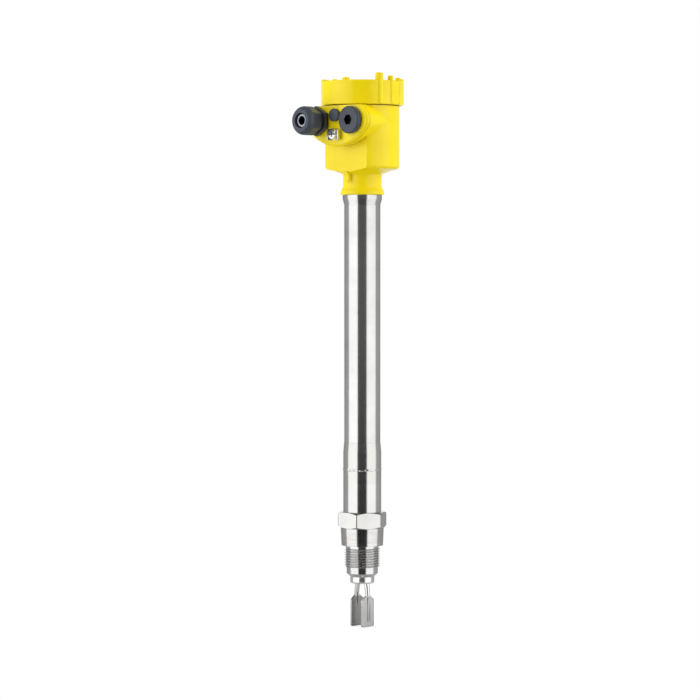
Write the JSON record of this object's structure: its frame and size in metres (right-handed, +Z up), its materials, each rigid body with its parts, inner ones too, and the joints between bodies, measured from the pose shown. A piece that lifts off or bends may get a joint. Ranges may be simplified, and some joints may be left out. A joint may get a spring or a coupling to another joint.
{
  "type": "tuning fork level switch",
  "caption": "Vibrating level switch: short fork below a threaded hexagon, long polished extension tube and a moulded housing with screw lid, cable gland and blind plug.",
  "frame": {"origin": "on the main axis at the top end of the process thread, just below the seal face", "axes": "+Z up along the tube from the fork to the lid, -Y the way the cable entries face"},
  "size_m": [0.0794, 0.0981, 0.5126],
  "materials": {
    "stainless_steel": "polished turned stainless steel",
    "bright_steel": "bright plated steel",
    "ceramic": "piezo ceramic",
    "white_plastic": "plain white plastic",
    "cable_plastic": "insulated wire",
    "brass": "turned brass",
    "black_rubber": "seal rubber",
    "grey_rubber": "soft sealing insert",
    "yellow_plastic": "moulded plastic, slightly glossy",
    "dark_plastic": "dark blue-grey moulded plastic",
    "black_plastic": "black moulded plastic",
    "grey_plastic": "grey moulded plastic",
    "clear_plastic": "clear lens"
  },
  "bodies": {
    "sensor": {"process_fitting": "stainless_steel", "tuning_fork": "stainless_steel", "drive_plate": "stainless_steel", "piezo_rings": "ceramic", "top_plate": "stainless_steel", "spring_washer": "bright_steel", "clamp_nut": "stainless_steel", "drive_bolt": "stainless_steel", "lower_sleeve": "stainless_steel", "extension_tube": "stainless_steel", "tube_head": "stainless_steel", "cable_guide_1": "white_plastic", "cable_guide_2": "white_plastic", "cable_guide_3": "white_plastic", "sensor_cable": "cable_plastic", "feedthrough": "white_plastic", "contact_jack": "brass", "swivel_seal": "black_rubber", "retaining_ring": "bright_steel"},
    "housing": {"housing": "yellow_plastic", "vent_cap": "dark_plastic", "vent_membrane": "white_plastic", "ground_insert": "brass", "gland_body": "dark_plastic", "gland_gasket": "black_rubber", "electronics_module": "black_plastic", "module_screws": "bright_steel", "terminal_block": "grey_plastic", "terminal_springs": "bright_steel", "lamp_lens": "clear_plastic", "switch_block": "black_plastic"},
    "lid_seal": {"lid_seal": "black_rubber"},
    "lid": {"lid": "yellow_plastic"},
    "gland_insert": {"gland_cage": "black_plastic", "gland_seal": "grey_rubber"},
    "gland_nut": {"gland_nut": "dark_plastic"},
    "plug_gasket": {"plug_gasket": "black_rubber"},
    "blind_plug": {"blind_plug": "dark_plastic"},
    "ground_clamp": {"ground_clamp": "bright_steel", "ground_washer": "bright_steel"},
    "ground_screw": {"ground_screw": "bright_steel"},
    "mode_switch": {"mode_switch": "white_plastic"},
    "delay_switch": {"delay_switch": "white_plastic"}
  },
  "joints": [
    {"name": "housing_swivel", "type": "hinge", "parent": "sensor", "child": "housing", "pos_m": [0, 0, 0.3279], "axis": [0, 0, 1], "range_deg": [-165, 165]},
    {"name": "lid_rise", "type": "slide", "parent": "housing", "child": "lid_seal", "axis": [0, 0, 1], "range_m": [0, 0.015]},
    {"name": "lid_turn", "type": "hinge", "parent": "lid_seal", "child": "lid", "pos_m": [0, 0, 0.4093], "axis": [0, 0, 1], "range_deg": [0, 1350]},
    {"name": "gland_travel", "type": "slide", "parent": "housing", "child": "gland_insert", "axis": [0, -1, 0], "range_m": [-0.0032, 0.006]},
    {"name": "gland_nut_turn", "type": "hinge", "parent": "gland_insert", "child": "gland_nut", "pos_m": [-0.0209, -0.0355, 0.3953], "axis": [0, -1, 0], "range_deg": [-768, 1440]},
    {"name": "plug_travel", "type": "slide", "parent": "housing", "child": "plug_gasket", "axis": [0, -1, 0], "range_m": [0, 0.0105]},
    {"name": "plug_turn", "type": "hinge", "parent": "plug_gasket", "child": "blind_plug", "pos_m": [0.0209, -0.0355, 0.3953], "axis": [0, -1, 0], "range_deg": [0, 2520]},
    {"name": "ground_clamp_travel", "type": "slide", "parent": "housing", "child": "ground_clamp", "axis": [0, -1, 0], "range_m": [0, 0.0035]},
    {"name": "ground_screw_turn", "type": "hinge", "parent": "ground_clamp", "child": "ground_screw", "pos_m": [0, -0.0355, 0.3828], "axis": [0, -1, 0], "range_deg": [0, 1800]},
    {"name": "mode_slide", "type": "slide", "parent": "housing", "child": "mode_switch", "axis": [1, 0, 0], "range_m": [0, 0.0024]},
    {"name": "delay_slide", "type": "slide", "parent": "housing", "child": "delay_switch", "axis": [1, 0, 0], "range_m": [0, 0.0024]}
  ],
  "couplings": [
    {"joint": "lid_rise", "follows": "lid_turn", "m_per_rad": 0.00063662},
    {"joint": "gland_travel", "follows": "gland_nut_turn", "m_per_rad": 0.00023873},
    {"joint": "plug_travel", "follows": "plug_turn", "m_per_rad": 0.00023873},
    {"joint": "ground_screw_turn", "follows": "ground_clamp_travel", "rad_per_m": 8976}
  ]
}
